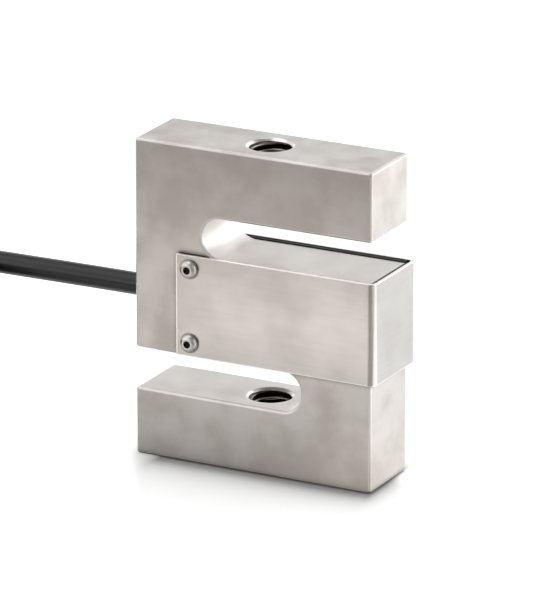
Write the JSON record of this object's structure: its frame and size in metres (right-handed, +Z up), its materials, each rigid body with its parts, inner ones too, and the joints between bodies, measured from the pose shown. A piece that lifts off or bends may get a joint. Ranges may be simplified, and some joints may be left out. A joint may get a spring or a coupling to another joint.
{
  "type": "s type load cell",
  "caption": "S-shaped tension and compression load cell with threaded load holes, a folded sheet cover over its strain gauges, and a signal cable.",
  "frame": {"origin": "where the load axis through both threaded holes meets the bottom face, midway between the front and rear faces", "axes": "+Z up the load axis from the lower thread to the upper thread, +X towards the closed end of the cover, away from the cable, +Y to the rear face"},
  "size_m": [0.1922, 0.0453, 0.063],
  "materials": {
    "block": "satin nickel plate over milled alloy steel",
    "cover": "cold-rolled stainless sheet, smooth satin",
    "screws": "turned stainless steel, bright",
    "gasket": "black silicone sheet",
    "potting": "translucent white silicone",
    "gauge_foil": "polyimide carrier with etched foil",
    "board": "glass-filled epoxy, green solder mask",
    "resistor": "lacquered barrel",
    "bush": "moulded black rubber",
    "clamp_ring": "crimped brass ring",
    "cable_jacket": "black extruded vinyl, slight sheen",
    "tie": "natural moulded nylon",
    "sleeve": "black heat-shrink tubing",
    "core_red": "extruded core insulation",
    "core_black": "extruded core insulation",
    "core_green": "extruded core insulation",
    "core_white": "extruded core insulation",
    "bare_wire": "tinned copper strands"
  },
  "bodies": {
    "root": {"s_beam_body": "block", "u_cover": "cover", "cover_screw_front_upper": "screws", "cover_screw_front_lower": "screws", "cover_screw_rear_upper": "screws", "cover_screw_rear_lower": "screws", "front_gasket": "gasket", "rear_gasket": "gasket", "end_gasket": "gasket", "front_potting": "potting", "rear_potting": "potting", "strain_gauge_left_upper": "gauge_foil", "strain_gauge_left_lower": "gauge_foil", "strain_gauge_right_upper": "gauge_foil", "strain_gauge_right_lower": "gauge_foil", "terminal_board": "board", "span_resistor": "resistor", "zero_resistor": "resistor", "gauge_wires": "bare_wire", "cable_bush": "bush", "cable_clamp_ring": "clamp_ring", "cable_lead": "cable_jacket", "cable_hank": "cable_jacket", "hank_tie_rear": "tie", "hank_tie_front": "tie", "cable_end_sleeve": "sleeve", "inner_core_red": "core_red", "inner_core_black": "core_black", "inner_core_green": "core_green", "inner_core_white": "core_white", "end_core_red": "core_red", "end_core_black": "core_black", "end_core_green": "core_green", "end_core_white": "core_white", "shield_drain": "bare_wire", "core_tips": "bare_wire"}
  },
  "joints": []
}
